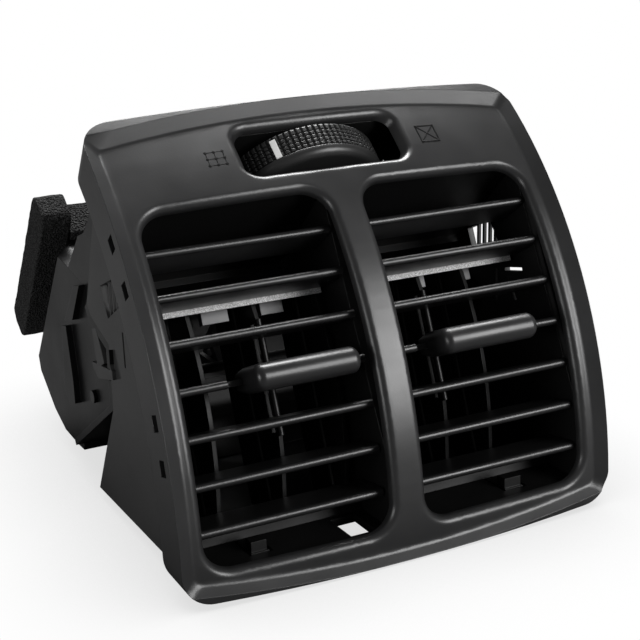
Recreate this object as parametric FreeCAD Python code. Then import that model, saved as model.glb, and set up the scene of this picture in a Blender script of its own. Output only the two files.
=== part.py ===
import FreeCAD, Part
import os
import math

# Rear air vent of a vehicle console. Millimetres, +X to the right seen from the cabin,
# -Y towards the cabin, +Z up. The origin lies on the face at its lowest edge, in the middle.

# Face: an arc seen from the side, nearly straight in plan
FACE_R = 139.3
FACE_TOP = 54.2
PLAN_CROWN = 2.8
BOTTOM_BOW = 1.6
DISH_BOW = BOTTOM_BOW * 0.58

# Raised rim round the face
RIM_HALF_W = 68.0
FACE_HALF_W = RIM_HALF_W - 4.0
RIM_RISE = 2.4
RIM_TOP = 55.8
RIM_BOTTOM = -1.0
RIM_CORNER = 9.0
DISH_CORNER = 5.0
SKIRT_DEPTH = 13.5
SKIRT_WALL = 2.4
SKIRT_SLOT_PHIS = (15.0, 20.0, 35.05, 40.75)
SKIRT_SLOT_DEEP = 5.3
SKIRT_SLOT_L = 3.6
SKIRT_SLOT_H = 4.5
FACE_WALL = 3.0

# Two outlets side by side
OUTLET_INNER_X = 5.2
OUTLET_OUTER_X = FACE_HALF_W - 3.8
OUTLET_LOW = 2.4
OUTLET_HIGH = 43.3
OUTLET_CORNER = 8.0
LIP_R = 2.2

# Thumbwheel and its window
WHEEL_PHI = 49.4
WHEEL_R = 25.8
WHEEL_PROUD = 1.6
WHEEL_THICK = 10.6
WHEEL_BORE_R = 2.6
WHEEL_PIN_R = 1.5
WHEEL_PIN_AT = 16.0
WHEEL_TURN = 64.0
WHEEL_TEETH = 90
TOOTH_DEEP = 0.6
TOOTH_HALF_W = 0.62
KNURL_LOW_B = -2.2
KNURL_BANDS = 5
BAND_GROOVE_W = 0.45
WHEEL_ROUND = 2.4
WINDOW_HALF_W = 27.0
WINDOW_RAMP_W = 4.0
WINDOW_HALF_H = 8.3

# Housing with two chambers
HOUSING_HALF_W = RIM_HALF_W - 5.4
HOUSING_TOP = 54.0
WHEEL_BOX_GAP = 0.8
ROD_ROOM = 3.4
WHEEL_HEAD_ROOM = 2.0
HOUSING_GAP = 0.3
CORNER_CUT = 1.6
CHAMBER_INNER_X = 4.3
CHAMBER_LOW = 2.0
CHAMBER_HIGH = 43.6
CHAMBER_REAR_R = 95.5
PLENUM_HIGH = 42.2
PLENUM_END_R = 84.0
HOUSING_WALL = 2.0
CHAMBER_OUTER_X = HOUSING_HALF_W - HOUSING_WALL
DIVIDER_SKIN = 1.8

# Slats
SLAT_COUNT = 7
SLAT_FIRST_PHI = 6.35
SLAT_PITCH = 5.46
SLAT_RECESS = 6.2
SLAT_CHORD = 13.0
SLAT_NOSE_R = 1.2
SLAT_TAIL_T = 1.0
SLAT_END_GAP = 0.6
PIVOT_BACK = 12.5
PIVOT_PIN_R = 1.1
PIN_CLEAR = 0.06
CRANK_ARM = 6.0
CRANK_PIN_R = 0.8
LINK_BAR_T = 1.2
LINK_BAR_W = 3.8

# Sliding knobs on the fourth slats
KNOB_SLAT = 3
KNOB_CUT = 4.0
KNOB_PLATE_T = 1.6
KNOB_JAW_LEN = 4.2
KNOB_LEN = 31.0
KNOB_H = 7.4
KNOB_FRONT = 1.6
KNOB_TRAVEL = 5.2
KNOB_JAW_T = 1.2
KNOB_CLEAR = 0.15
KNOB_ROUND = 2.4
KNOB_MID_X = (-25.0, 32.6)
FORK_W = 8.0
FORK_T = 1.2

# Upright vanes
VANE_MID_X = (-29.2, 24.3)
VANE_PITCHES = (20.0, 15.3)
VANE_COUNT = 3
VANE_PHI = 23.0
VANE_T = 1.4
VANE_FRONT_R = 117.3
VANE_AXIS_A = 106.0
VANE_REAR_A = 97.0
VANE_LOW_B = -34.8
VANE_TOP_B = 22.0
VANE_PIN_R = 1.2
VANE_PIN_LEN = 2.6
VANE_REST_DEG = 13.8
VANE_LINK_DROP = 2.4
VANE_LINK_T = 1.4
NOTCH_HALF = 15.5
FORK_PIN_R = 1.0
FORK_PIN_A = 116.8
VANE_LINK_ARM = 7.7
RAIL_FRONT_A = 111.0
RAIL_REAR_A = 101.0
RAIL_GAP = 0.6
UPPER_RAIL_H = 4.3
TAB_DROP = 5.4
TAB_DEEP = (108.2, 110.6)
TAB_SPANS = ((-41.0, -33.0), (-23.0, -16.0), (26.6, 31.5), (42.0, 47.5))

# Rear duct, its mouth and its flap
DUCT_HALF_W = HOUSING_HALF_W - 2.6
DUCT_LOW_HALF_W = DUCT_HALF_W - 8.0
DUCT_WALL = 2.0
SHELF_T = 2.0
NECK_HALF_W = DUCT_HALF_W - 7.3
NECK_LEAN = 37.1
NECK_TOP_S = 10.5
NECK_LOW_S = 54.0
TAPER_T = 22.0
COVER_WALL = 1.8
FLAP_A = 56.0
FLAP_B = -22.0
FLAP_LEVER = 13.0
FLAP_UP = 35.5
FLAP_SHOULDER = 6.9
ROD_SLOT_S = (5.0, 24.0)
FLAP_DOWN = 28.1
FLAP_T = 1.6
FLAP_OPEN_DEG = -17.5
FLAP_AXLE_R = 2.0
ROD_B = -7.1
ROD_T = 2.2
ROD_W = 5.0
ROD_X = -14.8
ROD_PLAY = 0.3
ROD_FORK_DEPTH = 3.6
FORK_PLATE_T = 2.6
LEVER_REST_DEG = 40.8
FLAP_LEVER_B = -12.2
FOAM_SHEET = 2.0
FOAM_T = 12.6
FOAM_SIDE_W = 10.0
FOAM_SIDE_S = (-1.6, 61.0)
FOAM_TOP_H = 4.5
FOAM_LOW_H = 6.0

os.makedirs("parts", exist_ok=True)
V = FreeCAD.Vector
X_AXIS = V(1, 0, 0)
ARC_CENTRE = V(0, FACE_R, 0)
NECK_CORNER = V(0, 129.0, 82.7)


def outward(phi):
    a = math.radians(phi)
    return V(0, -math.cos(a), math.sin(a))


def upward(phi):
    a = math.radians(phi)
    return V(0, math.sin(a), math.cos(a))


def at(phi, a, b=0.0, x=0.0):
    """Point a from the arc's centre along outward(phi), b along upward(phi), at x."""
    return ARC_CENTRE + outward(phi) * a + upward(phi) * b + V(x, 0, 0)


def plan_drop(x):
    return PLAN_CROWN * (x / RIM_HALF_W) ** 2


def face_of(points):
    return Part.Face(Part.makePolygon(points + [points[0]]))


def revolve(face, phi0, phi1):
    """Sweep a face drawn at phi = 0 round the arc's centre, from phi0 to phi1."""
    start = face.copy()
    start.rotate(ARC_CENTRE, X_AXIS, -phi0)
    return start.revolve(ARC_CENTRE, V(-1, 0, 0), phi1 - phi0)


def sector(r0, r1, phi0, phi1, x0, x1):
    y0 = FACE_R - r1
    y1 = FACE_R - r0
    return revolve(face_of([V(x0, y0, 0), V(x1, y0, 0), V(x1, y1, 0), V(x0, y1, 0)]), phi0, phi1)


def prism(points, x0, x1):
    """Solid with the given outline in the side view, between x0 and x1."""
    moved = [V(x0, p.y, p.z) for p in points]
    return face_of(moved).extrude(V(x1 - x0, 0, 0))


def block(phi, a0, a1, b0, b1, x0, x1):
    return prism([at(phi, a0, b0), at(phi, a1, b0), at(phi, a1, b1), at(phi, a0, b1)], x0, x1)


def pair(points, x0, x1):
    """The same side-view outline on the right and on the left, from x0 to x1 from the middle."""
    return [prism(points, x0, x1), prism(points, -x1, -x0)]


def strip(p, q, width):
    """Outline of a straight bar from p to q."""
    d = (q - p).normalize()
    n = V(0, -d.z, d.y) * (width / 2)
    return [p + n, q + n, q - n, p - n]


def grown(points, by):
    """The outline moved out all round; a negative value moves it in."""
    return [v.Point for v in face_of(points).makeOffset2D(by, join=2).OuterWire.OrderedVertexes]


def rod_x(p, r, x0, x1):
    return Part.makeCylinder(r, x1 - x0, V(x0, p.y, p.z), X_AXIS)


def rod_up(phi, a, x, r, b0, b1):
    return Part.makeCylinder(r, b1 - b0, at(phi, a, b0, x), upward(phi))


def round_edges(shape, radius, wanted):
    edges = [e for e in shape.Edges if wanted(e)]
    return shape.makeFillet(radius, edges) if edges else shape


def middle(edge):
    return edge.valueAt((edge.FirstParameter + edge.LastParameter) / 2)


def polar_of(p):
    d = p - ARC_CENTRE
    return math.hypot(d.y, d.z), math.degrees(math.atan2(d.z, -d.y))


def is_radial(edge):
    """True for an edge that runs along a radius of the face's arc."""
    if edge.Curve.TypeId != "Part::GeomLine":
        return False
    p, q = edge.firstVertex().Point, edge.lastVertex().Point
    (r0, f0), (r1, f1) = polar_of(p), polar_of(q)
    return abs(r1 - r0) > 1.0 and abs(f1 - f0) < 0.5 and abs(p.x - q.x) < abs(r1 - r0) * 2


def save(shape, name):
    shape = shape.removeSplitter()
    if shape.ShapeType == "Compound" and len(shape.Solids) == 1:
        shape = shape.Solids[0]
    print(name, "solids", len(shape.Solids), "volume", round(shape.Volume, 1), "valid", shape.isValid())
    shape.exportStep("parts/" + name + ".step")
    return shape


def plan_face(front_shift, y_back, half_w):
    """Plan outline with the crowned front edge, moved back by front_shift."""
    y_side = plan_drop(half_w) + front_shift
    front = Part.Arc(V(-half_w, y_side, 0), V(0, front_shift, 0), V(half_w, y_side, 0)).toShape()
    back = Part.makePolygon([V(half_w, y_side, 0), V(half_w, y_back, 0), V(-half_w, y_back, 0),
                             V(-half_w, y_side, 0)])
    return Part.Face(Part.Wire([front] + back.Edges))


def dish():
    """The hollow in front of the face, with sloping sides that make the raised rim."""
    w0, w1 = FACE_HALF_W, RIM_HALF_W
    y0, y1 = plan_drop(w0), plan_drop(w1) - RIM_RISE
    w2, y2 = w1 + 2 * (w1 - w0), y1 + 2 * (y1 - y0)
    floor = Part.Arc(V(-w0, y0, 0), V(0, 0, 0), V(w0, y0, 0)).toShape()
    rest = Part.makePolygon([V(w0, y0, 0), V(w2, y2, 0), V(w2, -40, 0), V(-w2, -40, 0), V(-w2, y2, 0),
                             V(-w0, y0, 0)])
    across = revolve(Part.Face(Part.Wire([floor] + rest.Edges)), RIM_BOTTOM - 6, RIM_TOP + 6)
    low_in, low_out = at(0, FACE_R), at(RIM_BOTTOM, FACE_R + RIM_RISE)
    top_in, top_out = at(FACE_TOP, FACE_R), at(RIM_TOP, FACE_R + RIM_RISE)
    low_step, top_step = low_out - low_in, top_out - top_in
    mid = FACE_TOP / 2
    far = FACE_R * 1.4
    sink = V(0, -low_step.z, low_step.y) * 2
    upright = prism([low_in - low_step * 9 + sink, low_out + low_step * 4 + sink, at(RIM_BOTTOM - 3, far),
                     at(mid, far * 1.2),
                     at(RIM_TOP + 3, far), top_out + top_step * 4, top_in - top_step * 9], -90, 90)
    hollow = across.common(upright).common(bow(low_in, low_step, DISH_BOW))
    return round_edges(hollow, DISH_CORNER, rises)


def bow(low, along, sag):
    """Room above a bottom that sinks by sag from the rim's sides to low in the middle."""
    d = V(along).normalize()
    up = V(0, d.z, -d.y)
    r = (RIM_HALF_W ** 2 + sag ** 2) / (2 * sag)
    return Part.makeCylinder(r, 400, low + up * r - d * 200, d)


def rises(edge):
    """True for the slanting corner edges of the dish."""
    p, q = edge.firstVertex().Point, edge.lastVertex().Point
    return abs(p.x - q.x) > 1.5 and abs(polar_of(p)[0] - polar_of(q)[0]) > 1.5


def outlet_tool(side, grow=0.0):
    x0 = OUTLET_INNER_X - grow if side > 0 else -OUTLET_OUTER_X - grow
    x1 = OUTLET_OUTER_X + grow if side > 0 else -OUTLET_INNER_X + grow
    deg = math.degrees(grow / FACE_R)
    tool = sector(FACE_R - 30, FACE_R + 12, OUTLET_LOW - deg, OUTLET_HIGH + deg, x0, x1)
    return round_edges(tool, OUTLET_CORNER, is_radial)


def window_tool():
    """Pocket of the thumbwheel: a window through the face with ramps running in from both ends."""
    half = math.degrees(WINDOW_HALF_H / FACE_R)
    w0, w1 = WINDOW_HALF_W, WINDOW_HALF_W - WINDOW_RAMP_W
    deep = FACE_WALL * 2
    plan = [V(-w0, -12, 0), V(w0, -12, 0), V(w0, 0, 0), V(w1, deep, 0), V(-w1, deep, 0), V(-w0, 0, 0)]
    tool = revolve(face_of(plan), WHEEL_PHI - half, WHEEL_PHI + half)
    return round_edges(tool, WINDOW_HALF_H * 0.5, is_radial)


def on_face(edge):
    """True for an edge that lies in the front face."""
    m = middle(edge)
    r = polar_of(m)[0]
    return abs(r - (FACE_R - plan_drop(m.x))) < 0.25 and abs(m.x) < OUTLET_OUTER_X + 1.5


def bezel():
    body = revolve(plan_face(-RIM_RISE, SKIRT_DEPTH, RIM_HALF_W), RIM_BOTTOM, RIM_TOP)
    body = body.common(bow(at(RIM_BOTTOM, FACE_R), outward(RIM_BOTTOM), BOTTOM_BOW))
    body = round_edges(body, RIM_CORNER, is_radial)
    body = body.cut(dish())
    inner_w = RIM_HALF_W - SKIRT_WALL
    wall_deg = math.degrees(SKIRT_WALL / FACE_R)
    hollow = revolve(plan_face(FACE_WALL, SKIRT_DEPTH + 5, inner_w), RIM_BOTTOM + wall_deg,
                     RIM_TOP - wall_deg)
    floor_phi = RIM_BOTTOM + wall_deg
    hollow = hollow.common(bow(at(floor_phi, FACE_R), outward(floor_phi), BOTTOM_BOW))
    body = body.cut(round_edges(hollow, RIM_CORNER - SKIRT_WALL, is_radial))
    for side in (-1, 1):
        body = body.cut(outlet_tool(side))
    body = body.cut(window_tool())
    low, high = OUTLET_LOW - 1, WHEEL_PHI + 6
    body = round_edges(body, LIP_R, lambda e: on_face(e) and low < polar_of(middle(e))[1] < high)
    slot_r = FACE_R - SKIRT_SLOT_DEEP
    for phi in SKIRT_SLOT_PHIS:
        slot = block(phi, slot_r - SKIRT_SLOT_L / 2, slot_r + SKIRT_SLOT_L / 2, -SKIRT_SLOT_H / 2,
                     SKIRT_SLOT_H / 2,
                     -RIM_HALF_W - 1, RIM_HALF_W + 1)
        middle_part = block(phi, slot_r - 9, slot_r + 9, -9, 9, -inner_w + 1, inner_w - 1)
        body = body.cut(slot.cut(middle_part))
    return body


def slat_phi(i):
    return SLAT_FIRST_PHI + SLAT_PITCH * i


def grille_span(side):
    """Inner faces of a grille's two end walls, from left to right."""
    if side > 0:
        return CHAMBER_INNER_X, CHAMBER_OUTER_X
    return -CHAMBER_OUTER_X, -CHAMBER_INNER_X


def pivot(i):
    return at(slat_phi(i), FACE_R - PIVOT_BACK)


def crank_pin(i):
    return pivot(i) - outward(VANE_PHI) * CRANK_ARM


def slat_plate(phi, x0, x1, front, tail, nose_r, tail_t):
    """Flat bar with a round nose at radius front, thinner towards the tail."""
    n = at(phi, front - nose_r, nose_r)
    m = at(phi, front)
    k = at(phi, front - nose_r, -nose_r)
    t0 = at(phi, tail, -tail_t / 2)
    t1 = at(phi, tail, tail_t / 2)
    arc = Part.Arc(n, m, k).toShape()
    rest = Part.makePolygon([k, t0, t1, n])
    face = Part.Face(Part.Wire([arc] + rest.Edges))
    face.translate(V(x0, 0, 0))
    return face.extrude(V(x1 - x0, 0, 0))


def slat(i, side):
    wall0, wall1 = grille_span(side)
    x0, x1 = wall0 + SLAT_END_GAP, wall1 - SLAT_END_GAP
    phi = slat_phi(i)
    front = FACE_R - SLAT_RECESS
    tail = front - SLAT_CHORD
    p = pivot(i)
    body = slat_plate(phi, x0, x1, front, tail, SLAT_NOSE_R, SLAT_TAIL_T)
    if i == KNOB_SLAT:
        g0, g1 = knob_gap(side)
        step = front - KNOB_CUT
        body = body.cut(block(phi, step, front + 1, -3, 3, g0, g1))
        body = body.cut(block(phi, tail - 1, step + 1, KNOB_PLATE_T / 2, 3, g0, g1))
        body = body.cut(block(phi, tail - 1, step + 1, -3, -KNOB_PLATE_T / 2, g0, g1))
    bar_x = x0 + LINK_BAR_T + 0.8
    body = body.cut(block(phi, tail - 1, FACE_R - PIVOT_BACK - PIVOT_PIN_R - 1.4, -4, 4, x0 - 1, bar_x))
    body = body.fuse(rod_x(p, PIVOT_PIN_R, wall0 - HOUSING_WALL + 0.3, x0 + 2))
    body = body.fuse(rod_x(p, PIVOT_PIN_R, x1 - 2, wall1 + HOUSING_WALL - 0.3))
    c = crank_pin(i)
    body = body.fuse(rod_x(c, 1.9, bar_x, bar_x + 2.4))
    body = body.fuse(rod_x(c, CRANK_PIN_R, x0 + 0.1, bar_x + 1))
    return body


def slat_link(side):
    x0 = grille_span(side)[0] + SLAT_END_GAP + 0.4
    shift = outward(VANE_PHI) * -CRANK_ARM
    r = FACE_R - PIVOT_BACK
    margin = math.degrees(LINK_BAR_W / 2 / r)
    bar = sector(r - LINK_BAR_W / 2, r + LINK_BAR_W / 2, slat_phi(0) - margin,
                 slat_phi(SLAT_COUNT - 1) + margin,
                 x0, x0 + LINK_BAR_T)
    bar.translate(shift)
    for i in range(SLAT_COUNT):
        bar = bar.cut(rod_x(crank_pin(i), CRANK_PIN_R + PIN_CLEAR, x0 - 1, x0 + LINK_BAR_T + 1))
    return bar


def vane_mid(side):
    return VANE_MID_X[0] if side < 0 else VANE_MID_X[1]


def vane_x(side, k):
    pitch = VANE_PITCHES[0] if side < 0 else VANE_PITCHES[1]
    return vane_mid(side) + (k - (VANE_COUNT - 1) / 2) * pitch


def knob_x(side):
    return KNOB_MID_X[0] if side < 0 else KNOB_MID_X[1]


def knob_gap(side):
    x = knob_x(side)
    return x - KNOB_LEN / 2 - KNOB_TRAVEL - 0.3, x + KNOB_LEN / 2 + 0.3


def knob(side):
    """Rounded bar that grips the fourth slat and reaches back to the middle vane with a fork."""
    phi = slat_phi(KNOB_SLAT)
    x = knob_x(side)
    front = FACE_R + KNOB_FRONT
    back = FACE_R - SLAT_RECESS - KNOB_CUT - KNOB_JAW_LEN
    h = KNOB_H / 2
    jaw = KNOB_PLATE_T / 2 + KNOB_CLEAR
    nose = [at(phi, front - h * 0.9, h), at(phi, front, 0), at(phi, front - h * 0.9, -h)]
    grip_back = FACE_R - SLAT_RECESS - KNOB_CUT + 0.3
    jaws = [at(phi, back, -jaw - KNOB_JAW_T), at(phi, back, jaw + KNOB_JAW_T)]
    arc = Part.Arc(*nose).toShape()
    rest = Part.makePolygon([nose[2], at(phi, grip_back, -h), jaws[0], jaws[1], at(phi, grip_back, h),
                             nose[0]])
    face = Part.Face(Part.Wire([arc] + rest.Edges))
    face.translate(V(x - KNOB_LEN / 2, 0, 0))
    body = face.extrude(V(KNOB_LEN, 0, 0))
    body = round_edges(body, KNOB_ROUND, lambda e: abs(abs(middle(e).x - x) - KNOB_LEN / 2) < 0.01
                       and polar_of(middle(e))[0] > grip_back + 4)
    slit = block(phi, back - 1, grip_back, -jaw, jaw, x - KNOB_LEN, x + KNOB_LEN)
    body = body.cut(slit)
    tongue_low = jaw
    fork_end = FORK_PIN_A - 2.2
    mid = vane_mid(side)
    pin_x = mid + vane_lean(FORK_PIN_A - VANE_AXIS_A)
    tongue = block(phi, fork_end, grip_back, tongue_low, tongue_low + FORK_T, pin_x - FORK_W / 2,
                   pin_x + FORK_W / 2)
    half = FORK_PIN_R + 0.15
    tongue = tongue.cut(block(phi, fork_end - 1, FORK_PIN_A + 2.0, -2, 6, pin_x - half, pin_x + half))
    return body.fuse(tongue)


def vane_lean(reach):
    """Sideways shift at rest of a point of a vane, reach in front of its axis."""
    return reach * math.sin(math.radians(VANE_REST_DEG))


def vane(side, k):
    """Upright blade on two pins. The middle one has a notch with a pin that the knob's fork grips."""
    phi = VANE_PHI
    low = at(phi, math.sqrt(VANE_FRONT_R ** 2 - VANE_LOW_B ** 2), VANE_LOW_B)
    top = at(phi, math.sqrt(VANE_FRONT_R ** 2 - VANE_TOP_B ** 2), VANE_TOP_B)
    arc = Part.Arc(low, at(phi, VANE_FRONT_R), top).toShape()
    rest = Part.makePolygon([top, at(phi, VANE_REAR_A, VANE_TOP_B), at(phi, VANE_REAR_A, VANE_LOW_B), low])
    face = Part.Face(Part.Wire([arc] + rest.Edges))
    face.translate(V(-VANE_T / 2, 0, 0))
    body = face.extrude(V(VANE_T, 0, 0))
    body = body.fuse(rod_up(phi, VANE_AXIS_A, 0, VANE_PIN_R, VANE_LOW_B - VANE_PIN_LEN,
                            VANE_TOP_B + VANE_PIN_LEN))
    link_a = VANE_AXIS_A - VANE_LINK_ARM
    body = body.fuse(rod_up(phi, link_a, 0, CRANK_PIN_R + 0.1, VANE_LOW_B - VANE_LINK_DROP, VANE_LOW_B + 3))
    if k == (VANE_COUNT - 1) // 2:
        b0 = (slat_phi(KNOB_SLAT) - phi) * math.radians(1) * FORK_PIN_A
        body = body.cut(block(phi, FORK_PIN_A - 3.6, VANE_FRONT_R + 2, b0 - NOTCH_HALF, b0 + NOTCH_HALF,
                              -2, 2))
        body = body.fuse(rod_up(phi, FORK_PIN_A - 0.5, 0, FORK_PIN_R, b0 - NOTCH_HALF - 1,
                                b0 + NOTCH_HALF + 1))
    body.rotate(at(phi, VANE_AXIS_A), upward(phi), VANE_REST_DEG)
    body.translate(V(vane_x(side, k), 0, 0))
    return body


def vane_link(side):
    """Bar under the vanes that makes the three turn together."""
    phi = VANE_PHI
    link_a = VANE_AXIS_A - VANE_LINK_ARM * math.cos(math.radians(VANE_REST_DEG))
    lean = vane_lean(VANE_LINK_ARM)
    b1 = VANE_LOW_B - 0.5
    x0, x1 = vane_x(side, 0) - lean - 2.2, vane_x(side, VANE_COUNT - 1) - lean + 2.2
    bar = block(phi, link_a - 1.9, link_a + 1.9, b1 - VANE_LINK_T, b1, x0, x1)
    for k in range(VANE_COUNT):
        x = vane_x(side, k) - lean
        bar = bar.cut(rod_up(phi, link_a, x, CRANK_PIN_R + 0.1 + PIN_CLEAR, b1 - 5, b1 + 5))
    return bar


def upper_rail(side):
    """Light bar across the chamber that carries the vanes' upper pins, with two tabs hanging from it."""
    phi = VANE_PHI
    b0 = VANE_TOP_B + RAIL_GAP
    x0, x1 = grille_span(side)
    body = block(phi, RAIL_REAR_A, RAIL_FRONT_A, b0, b0 + UPPER_RAIL_H, x0, x1)
    for t0, t1 in TAB_SPANS:
        if x0 < t0 < x1:
            body = body.fuse(block(phi, TAB_DEEP[0], TAB_DEEP[1], b0 - TAB_DROP, b0 + 1, t0, t1))
    for k in range(VANE_COUNT):
        x = vane_x(side, k)
        body = body.cut(rod_up(phi, VANE_AXIS_A, x, VANE_PIN_R + PIN_CLEAR, b0 - 1, b0 + VANE_PIN_LEN + 0.5))
    return body


def lower_rail(side):
    """Strip on the chamber's floor that carries the vanes' lower pins."""
    phi = VANE_PHI
    slope = math.tan(math.radians(phi - CHAMBER_LOW))
    b0 = VANE_LOW_B - RAIL_GAP
    x0, x1 = grille_span(side)
    body = prism([at(phi, RAIL_REAR_A, b0), at(phi, RAIL_FRONT_A, b0),
                  at(phi, RAIL_FRONT_A, -RAIL_FRONT_A * slope),
                  at(phi, RAIL_REAR_A, -RAIL_REAR_A * slope)], x0, x1)
    for k in range(VANE_COUNT):
        x = vane_x(side, k)
        body = body.cut(rod_up(phi, VANE_AXIS_A, x, VANE_PIN_R + PIN_CLEAR, b0 - VANE_PIN_LEN - 0.5, b0 + 1))
    return body


def wheel_centre_a():
    return FACE_R + WHEEL_PROUD - WHEEL_R


def wheel_box_r():
    return wheel_centre_a() - WHEEL_R - WHEEL_BOX_GAP - HOUSING_WALL


def wheel_box_half():
    return WHEEL_R + WHEEL_BOX_GAP + HOUSING_WALL + 2.4


def thumbwheel():
    """Disc with five knurled bands round its rim and a smooth rounded band below them."""
    a = wheel_centre_a()
    t = WHEEL_THICK
    c = at(WHEEL_PHI, a, -t / 2)
    up = upward(WHEEL_PHI)
    out = outward(WHEEL_PHI)
    body = Part.makeCylinder(WHEEL_R, t, c, up)
    body = round_edges(body, WHEEL_ROUND, lambda e: e.Length > 100 and (middle(e) - c).dot(up) < 1)
    body = round_edges(body, 0.8, lambda e: e.Length > 150 and (middle(e) - c).dot(up) > t - 1)
    body = body.cut(Part.makeCylinder(WHEEL_BORE_R + PIN_CLEAR, t + 2, c - up, up))
    base = at(WHEEL_PHI, a, KNURL_LOW_B)
    side = V(TOOTH_HALF_W, 0, 0)
    rim = base + out * (WHEEL_R + 0.2)
    knurl_h = t / 2 - 0.8 - KNURL_LOW_B
    tooth = face_of([rim - side, rim + side, base + out * (WHEEL_R - TOOTH_DEEP)]).extrude(up * (knurl_h + 2))
    cuts = []
    for n in range(WHEEL_TEETH):
        one = tooth.copy()
        one.rotate(c, up, 360.0 * n / WHEEL_TEETH)
        cuts.append(one)
    body = body.cut(Part.makeCompound(cuts))
    for n in range(KNURL_BANDS):
        low = base + up * (knurl_h * n / KNURL_BANDS - BAND_GROOVE_W / 2)
        groove = Part.makeCylinder(WHEEL_R + 1, BAND_GROOVE_W, low, up)
        body = body.cut(groove.cut(Part.makeCylinder(WHEEL_R - TOOTH_DEEP - 0.1, BAND_GROOVE_W, low, up)))
    pin_low = -t / 2 - 3.2
    pin = rod_up(WHEEL_PHI, a, -WHEEL_PIN_AT, WHEEL_PIN_R, pin_low, -t / 2 + 1)
    pin.rotate(c, up, -WHEEL_TURN / 2)
    return body.fuse(pin).cut(wheel_marker())


def wheel_marker():
    """White bar let into the wheel's rim."""
    a = wheel_centre_a()
    top = WHEEL_THICK / 2 - 1.2
    bar = block(WHEEL_PHI, a + WHEEL_R - 1.2, a + WHEEL_R + 0.1, KNURL_LOW_B, top, -0.9, 0.9)
    bar.rotate(at(WHEEL_PHI, a), upward(WHEEL_PHI), -WHEEL_TURN / 2)
    return bar


def wheel_axle():
    a = wheel_centre_a()
    t = WHEEL_THICK
    pin = rod_up(WHEEL_PHI, a, 0, WHEEL_BORE_R, axle_foot(), t / 2 + 0.6)
    return pin.fuse(rod_up(WHEEL_PHI, a, 0, WHEEL_BORE_R + 2, t / 2 + 0.3, t / 2 + 1.5))


def rod_rest():
    return -WHEEL_PIN_AT * math.sin(math.radians(WHEEL_TURN / 2))


def control_rod():
    """Flat rod from the wheel's pin to the flap's lever, with a slotted head at each end."""
    a = wheel_centre_a()
    shift = rod_rest()
    b0, b1 = ROD_B - ROD_T / 2, ROD_B + ROD_T / 2
    near = -WHEEL_PIN_AT
    far = -WHEEL_PIN_AT * math.cos(math.radians(WHEEL_TURN / 2))
    phi = WHEEL_PHI
    head = block(phi, a - 4.2, a + 4.2, b0, b1, near - 4.6, far + 4.6)
    slot_r = WHEEL_PIN_R + ROD_PLAY
    slot = block(phi, a - slot_r, a + slot_r, b0 - 1, b1 + 1, near - slot_r, far + slot_r)
    stem = block(phi, FLAP_A + 2, a - 3, b0, b1, ROD_X - ROD_W / 2, ROD_X + ROD_W / 2)
    drop = FLAP_LEVER_B - ROD_FORK_DEPTH
    fork = block(phi, FLAP_A - 4.2, FLAP_A + 4.2, drop, b1, ROD_X - FORK_PLATE_T / 2,
                 ROD_X + FORK_PLATE_T / 2)
    top = FLAP_B + FLAP_LEVER + slot_r
    body = head.fuse([stem, fork]).cut(slot)
    body = body.cut(block(phi, FLAP_A - slot_r, FLAP_A + slot_r, drop - 1, top, -90, 90))
    body.translate(outward(phi) * shift)
    return body


def flap_pivot():
    return at(WHEEL_PHI, FLAP_A, FLAP_B)


def flap_axes():
    """Directions along the open flap, downstream, and across it."""
    a = math.radians(FLAP_OPEN_DEG)
    return V(0, math.cos(a), math.sin(a)), V(0, -math.sin(a), math.cos(a))


def flap():
    """Shut-off flap on its axle, narrower where the duct is, with the lever for the control rod."""
    p = flap_pivot()
    half = DUCT_HALF_W - DUCT_WALL - 0.6
    low_half = DUCT_LOW_HALF_W - DUCT_WALL - 0.6
    along, across = flap_axes()
    t = FLAP_T / 2

    def plate(s0, s1, thick):
        return [p + along * s0 + across * thick, p + along * s1 + across * thick,
                p + along * s1 - across * thick, p + along * s0 - across * thick]

    body = prism(plate(-FLAP_SHOULDER, FLAP_UP, t), -half, half)
    body = body.fuse(prism(plate(-FLAP_DOWN, 0, t), -low_half, low_half))
    body = body.fuse(rod_x(p, FLAP_AXLE_R + 1.6, -half, half))
    body = body.cut(prism(plate(ROD_SLOT_S[0], ROD_SLOT_S[1], 4), ROD_X - 5.2, ROD_X + 3.2))
    lever_dir = math.radians(LEVER_REST_DEG)
    lever = upward(WHEEL_PHI) * math.cos(lever_dir) - outward(WHEEL_PHI) * math.sin(lever_dir)
    pin = p + lever * FLAP_LEVER
    body = body.fuse(prism(strip(p, pin + (pin - p).normalize() * 2, 4.6), ROD_X - 4.9, ROD_X - 3.3))
    body = body.fuse(rod_x(pin, WHEEL_PIN_R, ROD_X - 4.9, ROD_X + FORK_PLATE_T / 2 + 0.6))
    return body.cut(rod_x(p, FLAP_AXLE_R + PIN_CLEAR, -90, 90))


def flap_axle():
    end = DUCT_HALF_W + 1.2
    return rod_x(flap_pivot(), FLAP_AXLE_R, -end, end)


def flap_seal():
    """Foam sheet on the flap's face that meets the duct."""
    p = flap_pivot()
    half = DUCT_LOW_HALF_W - DUCT_WALL - 3
    along, across = flap_axes()
    t0 = FLAP_T / 2
    t1 = t0 + FOAM_SHEET
    pts = [p - along * 5 - across * t0, p - along * 5 - across * t1,
           p - along * (FLAP_DOWN - 1.0) - across * t1, p - along * (FLAP_DOWN - 1.0) - across * t0]
    return prism(pts, -half, half)


def joint_line():
    """Side view of the joint between housing and duct, from below to above."""
    return [V(0, 80.5, 0.9), V(0, 62.5, 32.0), V(0, 62.5, 52.0), at(PLENUM_HIGH, PLENUM_END_R)]


def joint_top():
    return at(CHAMBER_HIGH + 1.5, PLENUM_END_R)


def axle_foot():
    return -WHEEL_THICK / 2 - ROD_ROOM - HOUSING_WALL


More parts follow.
